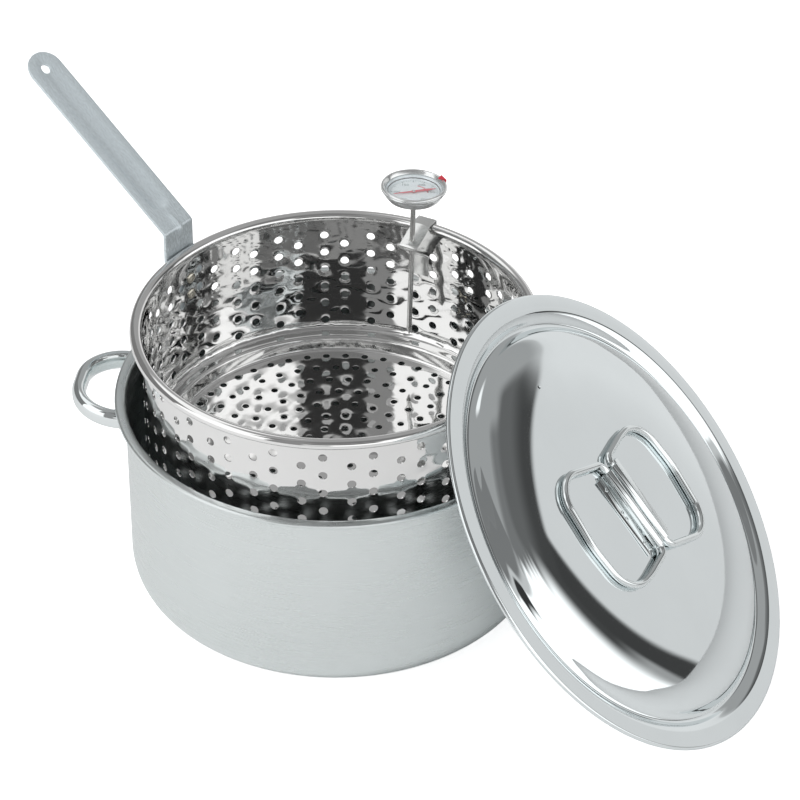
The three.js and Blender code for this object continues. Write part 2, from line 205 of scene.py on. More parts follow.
def sweep_data(path, section):
    """A section (across, up) carried along a path, with flat ends."""
    path = [Vector(p) for p in path]
    points, faces = [], []
    count = len(section)
    for i, here in enumerate(path):
        back = here - path[max(i - 1, 0)]
        ahead = path[min(i + 1, len(path) - 1)] - here
        along = (back.normalized() + ahead.normalized()).normalized()
        across = along.cross(UP).normalized()
        up = across.cross(along).normalized()
        points += [here + across * x + up * y for x, y in section]
        if i:
            base = (i - 1) * count
            for k in range(count):
                n = (k + 1) % count
                faces.append((base + k, base + n, base + count + n, base + count + k))
    faces.append(tuple(reversed(range(count))))
    faces.append(tuple(range(len(points) - count, len(points))))
    return points, faces


def ellipse(half_x, half_y, sides=28):
    return [(half_x * math.cos(a), half_y * math.sin(a))
            for a in np.linspace(0, 2 * math.pi, sides, endpoint=False)]


def extrude_across(outline, width):
    """A closed outline in the XZ plane, made wide along Y."""
    count = len(outline)
    points = [(x, y, z) for y in (-width / 2, width / 2) for x, z in outline]
    faces = [tuple(range(count)), tuple(reversed(range(count, 2 * count)))]
    for k in range(count):
        n = (k + 1) % count
        faces.append((k, k + count, n + count, n))
    return points, faces


def bevelled(obj, width, segments=2):
    """The object with its sharp edges softened by a small bevel."""
    bevel = obj.modifiers.new("bevel", "BEVEL")
    bevel.width = width * MM
    bevel.segments = segments
    bevel.limit_method = "ANGLE"
    bevel.angle_limit = math.radians(38)
    return applied(obj)


def applied(obj, sharp=38):
    """The object with its modifiers worked into its mesh."""
    graph = bpy.context.evaluated_depsgraph_get()
    mesh = bpy.data.meshes.new_from_object(obj.evaluated_get(graph))
    obj.modifiers.clear()
    obj.data = mesh
    mesh.shade_smooth()
    mesh.set_sharp_from_angle(angle=math.radians(sharp))
    return obj


def bored(obj, profile, place):
    """The hole that a profile turned about place's Z axis cuts through the piece."""
    drill = revolve("drill", profile, obj.data.materials[0], 24, place)
    cut = obj.modifiers.new("hole", "BOOLEAN")
    cut.operation, cut.object, cut.solver = "DIFFERENCE", drill, "EXACT"
    applied(obj)
    bpy.data.objects.remove(drill)
    return obj


def settled(obj):
    """The object's place moved into its mesh, so that its box is its true size."""
    obj.data.transform(obj.matrix_world)
    obj.matrix_world = Matrix()
    return obj


def stand_for(obj, body, slot, *nodes):
    """The piece rides on its body and replaces the CAD nodes; the slot is not used."""
    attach(obj, body)
    if nodes:
        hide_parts(*nodes)
    return obj


# ---------------------------------------------------------------- materials
class Nodes:
    """A short way to write one material's nodes."""

    def __init__(self, name, tree=None):
        self.material = None if tree else bpy.data.materials.new(name)
        if self.material:
            self.material.use_nodes = True
        self.tree = tree or self.material.node_tree
        self.shader = self.tree.nodes.get("Principled BSDF")

    def add(self, kind, inputs=None, **settings):
        node = self.tree.nodes.new(kind)
        for key, value in settings.items():
            setattr(node, key, value)
        for key, value in (inputs or {}).items():
            if isinstance(value, bpy.types.NodeSocket):
                self.tree.links.new(value, node.inputs[key])
            else:
                node.inputs[key].default_value = value
        return node

    def math(self, operation, *values, clamp=False):
        inputs = {i: v for i, v in enumerate(values)}
        return self.add("ShaderNodeMath", inputs, operation=operation, use_clamp=clamp).outputs[0]

    def noise(self, vector, scale, detail=4, roughness=0.6, **settings):
        inputs = {"Vector": vector, "Scale": scale, "Detail": detail, "Roughness": roughness}
        return self.add("ShaderNodeTexNoise", inputs, **settings).outputs["Fac"]

    def spread(self, value, low, high, start=0.3, end=0.7):
        inputs = {"Value": value, "From Min": start, "From Max": end, "To Min": low, "To Max": high}
        return self.add("ShaderNodeMapRange", inputs).outputs["Result"]

    def mixed(self, first, second, factor, blend="MIX"):
        """Two colours mixed: sockets 6 and 7 are a Mix node's colours, and 2 is their result."""
        inputs = {"Factor": factor, 6: first, 7: second}
        return self.add("ShaderNodeMix", inputs, data_type="RGBA", blend_type=blend).outputs[2]

    def link(self, value, socket):
        self.tree.links.new(value, self.shader.inputs[socket])

    def set(self, **values):
        for key, value in values.items():
            self.shader.inputs[key.replace("_", " ")].default_value = value

    def coordinates(self, place=None):
        """Object coordinates, or those of a place that has been moved into the mesh."""
        where = self.add("ShaderNodeTexCoord").outputs["Object"]
        if place is None:
            return where
        inputs = {"Vector": where, "Location": place.to_translation(), "Rotation": place.to_euler()}
        return self.add("ShaderNodeMapping", inputs, vector_type="TEXTURE").outputs[0]

    def scaled(self, vector, scale):
        return self.add("ShaderNodeMapping", {"Vector": vector, "Scale": scale}).outputs[0]

    def spun(self, where, grain, drift):
        """Coordinates that change fast across a turned surface and slowly round it."""
        part = self.add("ShaderNodeSeparateXYZ", {0: where}).outputs
        radius = self.math("SQRT", self.math("ADD", self.math("MULTIPLY", part[0], part[0]),
                                             self.math("MULTIPLY", part[1], part[1])))
        safe = self.math("MAXIMUM", radius, 0.001)
        x = self.math("MULTIPLY", self.math("DIVIDE", part[0], safe), drift)
        y = self.math("MULTIPLY", self.math("DIVIDE", part[1], safe), drift)
        inputs = {0: self.math("MULTIPLY", self.math("ADD", radius, part[2]), grain), 1: x, 2: y}
        return self.add("ShaderNodeCombineXYZ", inputs).outputs[0]


def steel(name, color, roughness, vary, grain, grain_bump, dents=0.0, blotch=14, tint=0.04, metal=1.0,
          place=None):
    """Stainless steel: grain is 'spun', 'plain' or a scale for each axis, and place is where a
    settled piece was made."""
    n = Nodes(name)
    where = n.coordinates(place)
    if grain == "spun":
        lines = n.noise(n.spun(where, 1500, 1.2), 1, 5, 0.7)
    elif grain == "plain":
        lines = n.noise(where, 900, 4, 0.6)
    else:
        lines = n.noise(n.scaled(where, grain), 1, 5, 0.7)
    smudge = n.noise(where, blotch, 5, 0.6)
    mottle = n.math("MULTIPLY", n.spread(lines, 0.75, 1.25), n.spread(smudge, 1 - vary, 1 + vary))
    n.link(n.math("MULTIPLY", mottle, roughness, clamp=True), "Roughness")
    shade = n.spread(smudge, 1 - tint, 1)
    grey = n.add("ShaderNodeCombineColor", {0: shade, 1: shade, 2: shade}).outputs[0]
    n.link(n.mixed((*color, 1), grey, 1.0, "MULTIPLY"), "Base Color")
    bump = n.add("ShaderNodeBump", {"Height": lines, "Strength": grain_bump, "Distance": 0.00002})
    if dents:
        wave = n.noise(where, 70, 2, 0.5)
        inputs = {"Height": wave, "Strength": 1.0, "Distance": dents * MM, "Normal": bump.outputs[0]}
        bump = n.add("ShaderNodeBump", inputs)
    n.link(bump.outputs[0], "Normal")
    n.set(Metallic=metal)
    return n.material


def painted(name, color, roughness, bump=0.1, scale=500):
    """Paint, print or rubber: a faint mottle and a fine skin."""
    n = Nodes(name)
    where = n.coordinates()
    speck = n.noise(where, scale, 4, 0.6)
    n.link(n.spread(speck, roughness * 0.8, roughness * 1.2), "Roughness")
    worn = (*(c * 0.9 for c in color), 1)
    n.link(n.mixed((*color, 1), worn, n.spread(n.noise(where, 60, 3), 0.0, 1.0)), "Base Color")
    height = n.add("ShaderNodeBump", {"Height": speck, "Strength": bump, "Distance": 0.00003})
    n.link(height.outputs[0], "Normal")
    return n.material


LID_PLACE = (Matrix.Translation(Vector(LID["centre"]) * MM)
             @ Matrix.Rotation(math.radians(LID["bearing"]), 4, "Z")
             @ Matrix.Rotation(math.radians(90 - LID["tilt"]), 4, "X"))
STRAP_PLACE = Matrix.Rotation(math.radians(STRAP["bearing"]), 4, "Z")

MIRROR = steel("mirror_steel", (0.82, 0.86, 0.865), 0.045, 0.5, "plain", 0.03)
LID_STEEL = steel("lid_steel", (0.825, 0.87, 0.88), 0.035, 0.4, "spun", 0.05, place=LID_PLACE)
BASKET_STEEL = steel("basket_steel", (0.84, 0.84, 0.835), 0.05, 0.5, "plain", 0.05, dents=0.02)
SATIN_WALL = steel("satin_wall", (0.75, 0.79, 0.79), 0.30, 0.15, (14, 14, 1600), 0.5)
SPUN_INSIDE = steel("spun_inside", (0.80, 0.80, 0.80), 0.09, 0.3, "spun", 0.08)
STRAP_STEEL = steel("strap_steel", (0.60, 0.665, 0.695), 0.28, 0.12, (260, 2600, 260), 0.05, metal=0.3,
                    place=STRAP_PLACE)
CLIP_STEEL = steel("clip_steel", (0.80, 0.81, 0.80), 0.17, 0.2, (1400, 40, 40), 0.3, metal=0.85)
STEM_STEEL = steel("stem_steel", (0.72, 0.72, 0.71), 0.2, 0.2, (20, 20, 1500), 0.3)
CASE_STEEL = steel("case_steel", (0.84, 0.86, 0.86), 0.22, 0.2, "spun", 0.3, metal=0.85)
RIVET_STEEL = steel("rivet_steel", (0.70, 0.67, 0.58), 0.25, 0.3, "plain", 0.4)
DIAL_WHITE = painted("dial_white", (0.88, 0.95, 0.97), 0.35)
WELL_WHITE = steel("well_white", (0.86, 0.93, 0.96), 0.3, 0.2, "spun", 0.3, metal=0.35)
PRINT_DARK = painted("print_dark", (0.05, 0.12, 0.13), 0.5)
PRINT_RED = painted("print_red", (0.72, 0.03, 0.06), 0.4)
RED = painted("red_paint", (0.70, 0.02, 0.05), 0.32)
RUBBER = painted("gasket_rubber", (0.03, 0.03, 0.033), 0.7, 0.6)


def lens_glass():
    """A thin clear lens: mostly see-through, with a faint gloss of its own."""
    n = Nodes("lens_glass")
    n.set(Base_Color=(0.93, 0.96, 0.97, 1), Alpha=0.12, IOR=1.45)
    n.link(n.spread(n.noise(n.coordinates(), 200, 3), 0.02, 0.06), "Roughness")
    return n.material


GLASS = lens_glass()


# ---------------------------------------------------------------- pot
def build_pot():
    p = POT
    face = [(0, p["sheet"]), (60, p["sheet"]), (100, p["sheet"])]
    face += arc(p["inner"] - p["corner"], p["sheet"] + p["corner"], p["corner"], -90, 0, 20)
    face += [(p["inner"], h) for h in (60, 100, 125)]
    face += arc(p["inner"] + p["flare"], p["height"] - p["flare"], p["flare"], 180, 90, 10)
    flange = len(face)
    face += arc(p["rim"] - p["lip"], p["height"] - p["lip"], p["lip"], 90, -75, 14)
    outline = sheet(face, p["sheet"])
    # The outline starts on the outside, at the centre of the base: satin up to the flange's flare.
    satin_last = flange - 6
    obj = revolve("pot_shell", outline, [SATIN_WALL, SPUN_INSIDE], 256,
                  pick=lambda k: 0 if k < satin_last else 1)
    stand_for(obj, "pot", "satin_steel", "pot_body")


def build_side_handle(name, bearing):
    h = SIDE_HANDLE
    wall = POT["inner"] + POT["sheet"]
    far = wall + h["reach"]
    half = h["chord"] / 2
    start = math.sqrt(wall**2 - half**2)
    plan = rounded([(start, half), (far, half, h["bend"]), (far, -half, h["bend"]), (start, -half)], 18)
    run_in = [(start + (plan[1][0] - start) * t, half) for t in (0.1, 0.35, 0.7)]
    run_out = [(x, -half) for x, _ in reversed(run_in)]
    plan = [plan[0], *run_in, *plan[1:-1], *run_out, plan[-1]]
    rise = math.tan(math.radians(h["tilt"]))
    path = [(x, y, h["height"] + (x - wall) * rise) for x, y in plan]
    section = []
    for a in np.linspace(0, 2 * math.pi, 36, endpoint=False):
        seam = 0.5 * math.exp(-((math.degrees(a) - 180) / 9) ** 2)
        section.append(((h["width"] / 2 - seam) * math.cos(a), h["tall"] / 2 * math.sin(a)))
    points, faces = sweep_data(path, section)
    count = len(section)
    fillet = {0: 1.13, 1: 1.04, len(path) - 2: 1.04, len(path) - 1: 1.13}
    for i, grow in fillet.items():
        for k in range(i * count, (i + 1) * count):
            middle = Vector(path[i])
            points[k] = middle + (points[k] - middle) * grow
    for k in [*range(count), *range(len(points) - count, len(points))]:
        points[k].x = math.sqrt((wall - 0.3) ** 2 - points[k].y ** 2)
    place = Matrix.Rotation(math.radians(bearing), 4, "Z")
    obj = make(name + "_tube", points, faces, MIRROR, place)
    stand_for(obj, "pot", "polished_steel", name)


# ---------------------------------------------------------------- basket
def basket_profile():
    """The inner face from the floor's edge up to the rim's curl, and each point's distance along it."""
    b = BASKET
    bead = b["bead"]
    low = arc(b["floor_radius"], b["floor"] + bead, bead, -90, -20, 6)
    low += arc(b["ridge"], b["ledge"] - bead, bead, 165, 90, 7)
    low += arc(b["inner"] - b["heel"], b["ledge"] + b["heel"], b["heel"], -90, 0, 10)
    high = arc(b["inner"] + b["flare"], b["top"] - b["flare"], b["flare"], 180, 90, 10)
    high += arc(b["rim"] - b["crown"], b["top"] - b["crown"], b["crown"], 90, 0, 9)
    high += arc(b["rim"] - b["lip"], b["top"] - b["crown"] - 0.4, b["lip"], 0, -75, 7)
    line = np.array(low + high)
    along = np.concatenate([[0], np.cumsum(np.linalg.norm(np.diff(line, axis=0), axis=1))])
    along += high[0][1] - along[len(low)]
    return line, along


class BasketWall:
    """Points on the basket's inner face, from an angle in degrees and a distance up its profile."""

    def __init__(self):
        self.line, self.along = basket_profile()
        self.normals = normals_of(self.line)

    def place(self, degrees, s, push=0.0):
        r = np.interp(s, self.along, self.line[:, 0]) + np.interp(s, self.along, self.normals[:, 0]) * push
        z = np.interp(s, self.along, self.line[:, 1]) + np.interp(s, self.along, self.normals[:, 1]) * push
        a = np.radians(degrees)
        wave = RIPPLE["height"] * np.sin(7 * a + s * 0.11) * np.sin(s * 0.23 + 11 * a)
        inside = (s > RIPPLE["low"]) & (s < RIPPLE["high"])
        r = r + np.where(inside, wave, 0)
        return np.stack([r * np.sin(a), r * np.cos(a), z], -1)


def dimple(distance, depth, radius):
    """How far a punched hole has drawn the sheet at a distance from its middle."""
    return depth * np.exp(-((distance / radius) ** 2))


def wall_cell(wall, left, right, low, high, hole):
    """One punched cell: a hole, rings of its dimple and the cell's straight edges."""
    c, n = COLUMNS, COLUMNS["across"]
    per_degree = math.radians(1) * BASKET["inner"]
    edge = [(left + (right - left) * i / n, low) for i in range(n)]
    edge += [(right, low + (high - low) * i / n) for i in range(n)]
    edge += [(right - (right - left) * i / n, high) for i in range(n)]
    edge += [(left, high - (high - low) * i / n) for i in range(n)]
    edge = np.array(edge)
    centre = np.array(hole)
    spoke = (edge - centre) * [per_degree, 1]
    reach = np.linalg.norm(spoke, axis=1)
    unit = spoke / reach[:, None]
    rows = []
    for radius in (c["radius"], *c["rings"]):
        spot = centre + unit * radius / [per_degree, 1]
        rows.append(wall.place(spot[:, 0], spot[:, 1], dimple(radius, c["dimple"], c["dimple_reach"])))
    rows.append(wall.place(edge[:, 0], edge[:, 1], 0.0))
    return np.array(rows)


def build_basket():
    wall = BasketWall()
    c, n = COLUMNS, COLUMNS["across"]
    points, faces = [], []

    def rings(rows, closed=True):
        start = len(points)
        count = len(rows[0])
        points.extend(np.array(rows).reshape(-1, 3).tolist())
        for j in range(len(rows) - 1):
            for i in range(count if closed else count - 1):
                k = (i + 1) % count
                a, b = start + j * count, start + (j + 1) * count
                faces.append((a + i, a + k, b + k, b + i))

    def patch(left, right, low, high, steps):
        across = np.linspace(left, right, n + 1)
        rings([wall.place(across, np.full(n + 1, s)) for s in np.linspace(low, high, steps + 1)], False)

    pitch, half = 360 / c["pairs"], c["pitch"] / 2
    top = c["top"] + half
    bottom = top - c["rows"] * c["pitch"]
    for pair in range(c["pairs"]):
        middle = pair * pitch
        for row in range(c["rows"]):
            z = c["top"] - row * c["pitch"]
            rings(wall_cell(wall, middle - pitch / 2, middle, z - half, z + half,
                            (middle - c["spread"], z)))
            if row < c["rows"] - 1:
                z -= half
                rings(wall_cell(wall, middle, middle + pitch / 2, z - half, z + half,
                                (middle + c["spread"], z)))
        patch(middle, middle + pitch / 2, top - half, top, n // 2)
        patch(middle, middle + pitch / 2, bottom, bottom + half, n // 2)
    around = np.linspace(0, 360, c["pairs"] * 2 * n, endpoint=False)
    rim = [top, top + 2.5, top + 5, *[s for s in wall.along if s > top + 7]]
    rings([wall.place(around, np.full(len(around), s)) for s in rim])
    foot = [*[s for s in wall.along if s < bottom - 0.3], bottom]
    rings([wall.place(around, np.full(len(around), s)) for s in foot])

    # Floor: every hole and its dimple's rings are points of one triangulation inside the bead.
    f = FLOOR_HOLES
    radians = np.radians(around)
    flat = [(BASKET["floor_radius"] * math.sin(a), BASKET["floor_radius"] * math.cos(a)) for a in radians]
    edges = [(i, (i + 1) % len(flat)) for i in range(len(flat))]
    holes = []
    for ring, r in enumerate(f["rings"]):
        count = round(2 * math.pi * r / f["spacing"])
        for i in range(count):
            a = 2 * math.pi * i / count + ring * f["twist"]
            holes.append((r * math.cos(a), r * math.sin(a)))
    for x, y in holes:
        for radius, sides in ((f["radius"], 24), (3.1, 20), (4.2, 16)):
            start = len(flat)
            ring = [(x + radius * math.cos(t), y + radius * math.sin(t))
                    for t in np.linspace(0, 2 * math.pi, sides, endpoint=False)]
            if radius > f["radius"]:
                ring = [q for q in ring if math.hypot(*q) < BASKET["floor_radius"] - 0.8]
            flat += ring
            if radius == f["radius"]:
                edges += [(start + i, start + (i + 1) % sides) for i in range(sides)]
    made = delaunay_2d_cdt([Vector(p) for p in flat], edges, [], 0, 1e-5)
    spots = np.array([tuple(v) for v in made[0]])
    triangles = np.array(made[2])
    middles = spots[triangles].mean(1)
    centres = np.array(holes)
    gap = np.linalg.norm(middles[:, None] - centres[None], axis=2).min(1)
    kept = triangles[(gap > f["radius"] * 0.985) & (np.hypot(*middles.T) < BASKET["floor_radius"])]
    near = np.linalg.norm(spots[:, None] - centres[None], axis=2).min(1)
    edge_fade = np.clip((BASKET["floor_radius"] - np.hypot(*spots.T)) / 3, 0, 1)
    drop = dimple(near, f["dimple"], f["dimple_reach"]) * edge_fade
    start = len(points)
    points.extend([(x, y, BASKET["floor"] - d) for (x, y), d in zip(spots, drop)])
    faces.extend([tuple(int(i) + start for i in t) for t in kept])

    mesh = bpy.data.meshes.new("basket_sheet")
    mesh.from_pydata([tuple(v * MM for v in p) for p in points], [], faces)
    solid = bmesh.new()
    solid.from_mesh(mesh)
    bmesh.ops.remove_doubles(solid, verts=solid.verts, dist=0.02 * MM)
    bmesh.ops.delete(solid, geom=[v for v in solid.verts if not v.link_faces], context="VERTS")
    bmesh.ops.recalc_face_normals(solid, faces=solid.faces)
    solid.faces.ensure_lookup_table()
    lowest = min(solid.faces, key=lambda q: q.calc_center_median().z)
    if lowest.normal.z < 0:
        bmesh.ops.reverse_faces(solid, faces=solid.faces)
    solid.to_mesh(mesh)
    solid.free()
    obj = finish_mesh("basket_sheet", mesh, BASKET_STEEL)
    solidify = obj.modifiers.new("sheet", "SOLIDIFY")
    solidify.thickness = BASKET["sheet"] * MM
    solidify.offset = -1
    applied(obj)
    stand_for(obj, "basket", "polished_steel", "basket_shell")


def build_strap():
    s, c = STRAP, CHANNEL
    slope = math.radians(s["rise"])
    tip = (s["offset"] + s["arm"] * math.cos(slope), s["elbow"] + s["arm"] * math.sin(slope))
    line = rounded([(s["wall"], s["foot"]), (s["wall"], s["jog_low"], 3), (s["offset"], s["jog_high"], 3),
                    (s["offset"], s["elbow"], 3), tip], 8)
    line = np.array(line)
    along = np.concatenate([[0], np.cumsum(np.linalg.norm(np.diff(line, axis=0), axis=1))])
    total = along[-1]
    normals = normals_of(line)
    bend = float(np.interp(s["elbow"], line[:, 1], along))
    half = s["width"] / 2
    channel = (bend + c["after_bend"], total - c["before_end"])

    def stamp(d, t):
        """Depth pressed below the strap's upper face at a distance along it and across it."""
        run = max(channel[0] - d, 0, (d - channel[1]) / 4)
        reach = math.hypot(run, t) / c["half"]
        fade = 1 - c["fade"] * min(1, max(0, (d - channel[0]) / (total - channel[0])))
        groove = c["depth"] * fade * max(0, 1 - reach**2)
        dart = -2.6 * math.exp(-(t / 1.7) ** 2) * math.exp(-((d - bend) / 9.5) ** 4)
        lip = 0.35 * max(0, (abs(t) - half + 2.2) / 2.2) ** 2
        return groove + dart + lip

    def spot(d, t, side):
        x = np.interp(d, along, line[:, 0])
        z = np.interp(d, along, line[:, 1])
        nx = np.interp(d, along, normals[:, 0])
        nz = np.interp(d, along, normals[:, 1])
        push = side * s["sheet"] / 2 + stamp(d, t)
        return (x + nx * push, t, z + nz * push)

    columns = 28
    back = total - 2 * half
    fine = [a for a in along if a < bend + 8]
    lengths = sorted({*np.arange(0, back, 1.6).round(3), *[round(a, 3) for a in fine], round(back, 3)})
    lengths = [d for i, d in enumerate(lengths) if i == 0 or d - lengths[i - 1] > 0.12]
    lengths[-1] = back
    across = np.linspace(-half, half, columns + 1)
    points, faces = [], []
    for side in (-1, 1):
        start = len(points)
        points += [spot(d, t, side) for d in lengths for t in across]
        for j in range(len(lengths) - 1):
            for i in range(columns):
                a = start + j * (columns + 1) + i
                b = a + columns + 1
                faces.append((a, a + 1, b + 1, b) if side < 0 else (a, b, b + 1, a + 1))
        # The free end: rings from the hanging hole out to a square back and a round front.
        middle = total - s["inset"]
        round_centre = total - half
        edge = [(back, t) for t in across[::-1]]
        edge += [(back + (round_centre - back) * i / 14, -half) for i in range(1, 15)]
        edge += [(round_centre + half * math.sin(a), -half * math.cos(a))
                 for a in np.linspace(0, math.pi, 41)[1:]]
        edge += [(round_centre - (round_centre - back) * i / 14, half) for i in range(1, 14)]
        count = len(edge)
        start = len(points)
        levels = (0, 0.08, 0.25, 0.5, 0.75, 0.92, 1)
        for level in levels:
            for d, t in edge:
                away = math.atan2(t, d - middle)
                hole = (middle + s["hole"] * math.cos(away), s["hole"] * math.sin(away))
                points.append(spot(hole[0] + (d - hole[0]) * level, hole[1] + (t - hole[1]) * level, side))
        for j in range(len(levels) - 1):
            for i in range(count):
                k = (i + 1) % count
                a, b = start + j * count, start + (j + 1) * count
                faces.append((a + i, a + k, b + k, b + i))
    mesh = bpy.data.meshes.new("strap")
    mesh.from_pydata([tuple(v * MM for v in p) for p in points], [], faces)
    solid = bmesh.new()
    solid.from_mesh(mesh)
    bmesh.ops.remove_doubles(solid, verts=solid.verts, dist=0.02 * MM)
    rims = [e for e in solid.edges if e.is_boundary]
    mouths = [e for e in rims if all(near_hole(v.co, line[-1], slope) for v in e.verts)]
    outer = [e for e in rims if e not in mouths]
    bmesh.ops.bridge_loops(solid, edges=mouths)
    bmesh.ops.bridge_loops(solid, edges=outer)
    bmesh.ops.recalc_face_normals(solid, faces=solid.faces)
    solid.to_mesh(mesh)
    solid.free()
    obj = finish_mesh("strap_plate", mesh, [STRAP_STEEL], STRAP_PLACE)
    settled(bevelled(obj, 0.3))
    stand_for(obj, "basket", "satin_steel", "basket_handle")


def near_hole(co, tip, slope):
    """True for a point within the hanging hole's edge, seen square to the strap's arm."""
    back = STRAP["inset"]
    centre = Vector((tip[0] - back * math.cos(slope), 0, tip[1] - back * math.sin(slope))) * MM
    away = co - centre
    run = away.x * math.cos(slope) + away.z * math.sin(slope)
    return math.hypot(run, away.y) < (STRAP["hole"] + 0.6) * MM


def build_rivet(index, height):
    """A rivet along the basket's radius, with a low head inside and a domed one outside."""
    shank, head = RIVET["shank"], RIVET["head"]
    inside = BASKET["inner"] - 0.1
    outside = STRAP["wall"] + STRAP["sheet"] / 2
    profile = [(0, inside - 1.5), (2.2, inside - 1.4), (3.4, inside - 0.9), (head, inside - 0.3),
               (head, inside), (shank, inside), (shank, outside), (head, outside), (3.8, outside + 0.4),
               (3.1, outside + 1.1), (1.8, outside + 1.55), (0, outside + 1.7)]
    place = STRAP_PLACE @ Matrix.Translation((0, 0, height * MM)) @ Matrix.Rotation(math.pi / 2, 4, "Y")
    obj = revolve(f"strap_rivet_{index}", profile, RIVET_STEEL, 32, place)
    stand_for(obj, "basket", "satin_steel", f"basket_handle_rivet_{index}")


# ---------------------------------------------------------------- lid
HINGE_PLACE = (LID_PLACE @ Matrix.Translation((0, HINGE["rise"] * MM, 0))
               @ Matrix.Rotation(math.radians(HINGE["turn"]), 4, "Z"))


def build_lid():
    top = LID_FACE[-1][1]
    line = through(LID_FACE, 6)
    line += arc(LID["rim"] - LID["lip"], top - LID["lip"], LID["lip"], 90, -75, 14)
    outline = sheet(line, LID["sheet"])
    points, faces, _ = revolve_data([(max(r, 0), z) for r, z in outline], 320)
    obj = make("lid_sheet", points, faces, LID_STEEL, LID_PLACE)
    drill = [(0, 0), (LID["vent_radius"], 0), (LID["vent_radius"], 30), (0, 30)]
    bored(obj, drill, LID_PLACE @ Matrix.Translation(Vector((*LID["vent"], 0)) * MM))
    settled(obj)
    stand_for(obj, "lid", "polished_steel", "lid_shell")


def build_bracket():
    h = HINGE
    face = h["base"] + h["sheet"]
    outer = h["barrel"] + h["sheet"]
    dip = -math.degrees(math.asin((BAIL["height"] - face) / outer))
    line = [(-h["flange"], face), (-14, face), (-11, face)]
    line += arc(-h["spacing"] / 2, BAIL["height"], outer, 180 - dip, dip + 26, 18)
    line += arc(h["spacing"] / 2, BAIL["height"], outer, 154 - dip, dip, 18)
    line += [(11, face), (14, face), (h["flange"], face)]
    points, faces = extrude_across(sheet(line, h["sheet"]), h["length"])
    obj = make("lid_bracket", points, faces, MIRROR, HINGE_PLACE)
    bevelled(obj, 0.2)
    stand_for(obj, "lid", "polished_steel", "lid_hinge_bracket")


def build_spot_welds():
    """Shallow round marks of the spot welds on the bracket's flanges, as one piece."""
    points, faces = [], []
    top = HINGE["base"] + HINGE["sheet"]
    profile = [(0.55, top + 0.01), (1.0, top + 0.16), (1.35, top + 0.12), (1.7, top - 0.05)]
    for x in (-13.5, 13.5):
        for y in (-22, -2, 3, 22):
            part, quads, _ = revolve_data([(0, top + 0.0), *profile, (0, top - 0.05)], 20, closed=False)
            start = len(points)
            points += [(px + x, py + y, pz) for px, py, pz in part]
            faces += [tuple(start + i for i in q) for q in quads]
    obj = make("bracket_spot_welds", points, faces, MIRROR, HINGE_PLACE)
    stand_for(obj, "lid", "polished_steel")


def build_bail(name, side):
    b = BAIL
    hinge, end = -HINGE["spacing"] / 2, HINGE["length"] / 2
    loop = [(hinge + x, y, radius) for x, y, radius in b["corners"]]
    plan = rounded([(hinge, end - b["insert"]), *loop, (hinge, b["insert"] - end)], 14)
    droop = math.tan(math.radians(b["droop"]))
    path = [(x, y, b["height"] + min(0, x - hinge) * droop) for x, y in plan]
    points, faces = sweep_data(path, ellipse(b["wire"], b["wire"], 28))
    place = HINGE_PLACE @ Matrix.Rotation(math.pi if side > 0 else 0, 4, "Z")
    obj = make(name.replace("lid_", "") + "_wire", points, faces, MIRROR, place)
    stand_for(obj, name.replace("lid_", ""), "polished_steel", name)


# ---------------------------------------------------------------- thermometer
STATION = Matrix.Rotation(math.radians(CLIP["bearing"]), 4, "Z")
GAUGE_PLACE = (STATION @ Matrix.Translation((GAUGE["radius"] * MM, 0, GAUGE["height"] * MM))
               @ Matrix.Rotation(math.radians(GAUGE["lean"]), 4, "Y"))


def build_clip():
    c = CLIP
    line = rounded([(c["hook"], c["hook_foot"]), (c["hook"], c["top"], 1.5), (c["inner"], c["top"], 3),
                    (c["nose"], c["nose_height"], 2), (c["heel"], c["heel_height"], 3),
                    (c["heel"] - 1, c["foot"])], 8)
    points, faces = extrude_across(strip(line, c["sheet"]), c["width"])
    obj = bevelled(make("gauge_clip", points, faces, CLIP_STEEL, STATION), 0.15)
    drill = [(0, 20), (GAUGE["stem"] + 0.15, 20), (GAUGE["stem"] + 0.15, 105), (0, 105)]
    bored(obj, drill, GAUGE_PLACE)
    stand_for(obj, "clip", "satin_steel", "thermometer_clip")


